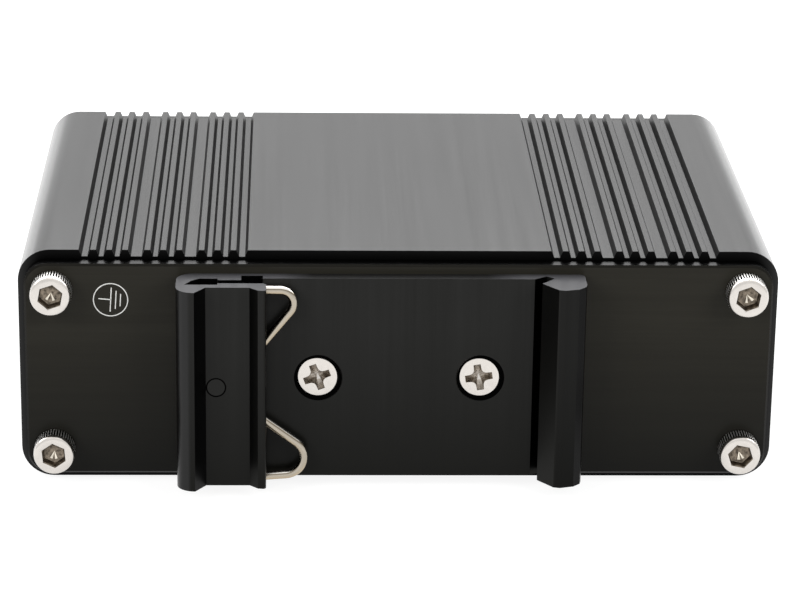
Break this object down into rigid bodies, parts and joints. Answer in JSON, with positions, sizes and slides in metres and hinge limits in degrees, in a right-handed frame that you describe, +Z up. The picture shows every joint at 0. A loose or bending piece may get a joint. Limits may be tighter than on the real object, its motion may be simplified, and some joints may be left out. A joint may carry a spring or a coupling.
{
  "type": "industrial media converter",
  "caption": "Black ribbed aluminium box that converts copper to fibre network links, with a spring rail clip on one end plate and its ports on the other.",
  "frame": {"origin": "centre of the case extrusion's flat bottom face", "axes": "+Z up, +X along the width to the right as seen from the clip's end, +Y along the extrusion away from the rail clip"},
  "size_m": [0.1056, 0.091, 0.0336],
  "materials": {
    "case_black": "satin black anodised",
    "plate_black": "satin black anodised",
    "clip_black": "satin black anodised",
    "bright_screw": "bright nickel plated",
    "spring_steel": "bright drawn wire",
    "dark_pin": "blackened",
    "board_green": "solder mask",
    "tinned_steel": "tinned",
    "connector_black": "moulded",
    "gold_contact": "gold flashed",
    "clear_light": "tinted moulded lens",
    "white_ceramic": "ground",
    "terminal_green": "moulded",
    "chip_black": "moulded epoxy",
    "converter_black": "potted case",
    "ferrite_grey": "sintered ferrite",
    "capacitor_can": "drawn can"
  },
  "bodies": {
    "root": {"case_extrusion": "case_black", "rear_end_plate": "plate_black", "front_end_plate": "plate_black", "rear_plate_screws": "bright_screw", "front_plate_screws": "bright_screw", "din_clip": "clip_black", "din_clip_screws": "bright_screw", "spring_wire": "spring_steel", "spring_pin": "dark_pin", "main_board": "board_green", "jack_shield": "tinned_steel", "jack_insert": "connector_black", "jack_contacts": "gold_contact", "jack_lights": "clear_light", "fibre_transceiver": "connector_black", "fibre_sleeves": "white_ceramic", "fibre_pins": "tinned_steel", "terminal_header": "terminal_green", "terminal_pins": "tinned_steel", "terminal_plug": "terminal_green", "terminal_screws": "bright_screw", "status_light_holder": "connector_black", "status_lights": "clear_light", "controller_chip": "chip_black", "magnetics_module": "chip_black", "converter_module": "converter_black", "power_inductor": "ferrite_grey", "filter_capacitors": "capacitor_can", "clock_crystal": "tinned_steel"}
  },
  "joints": []
}
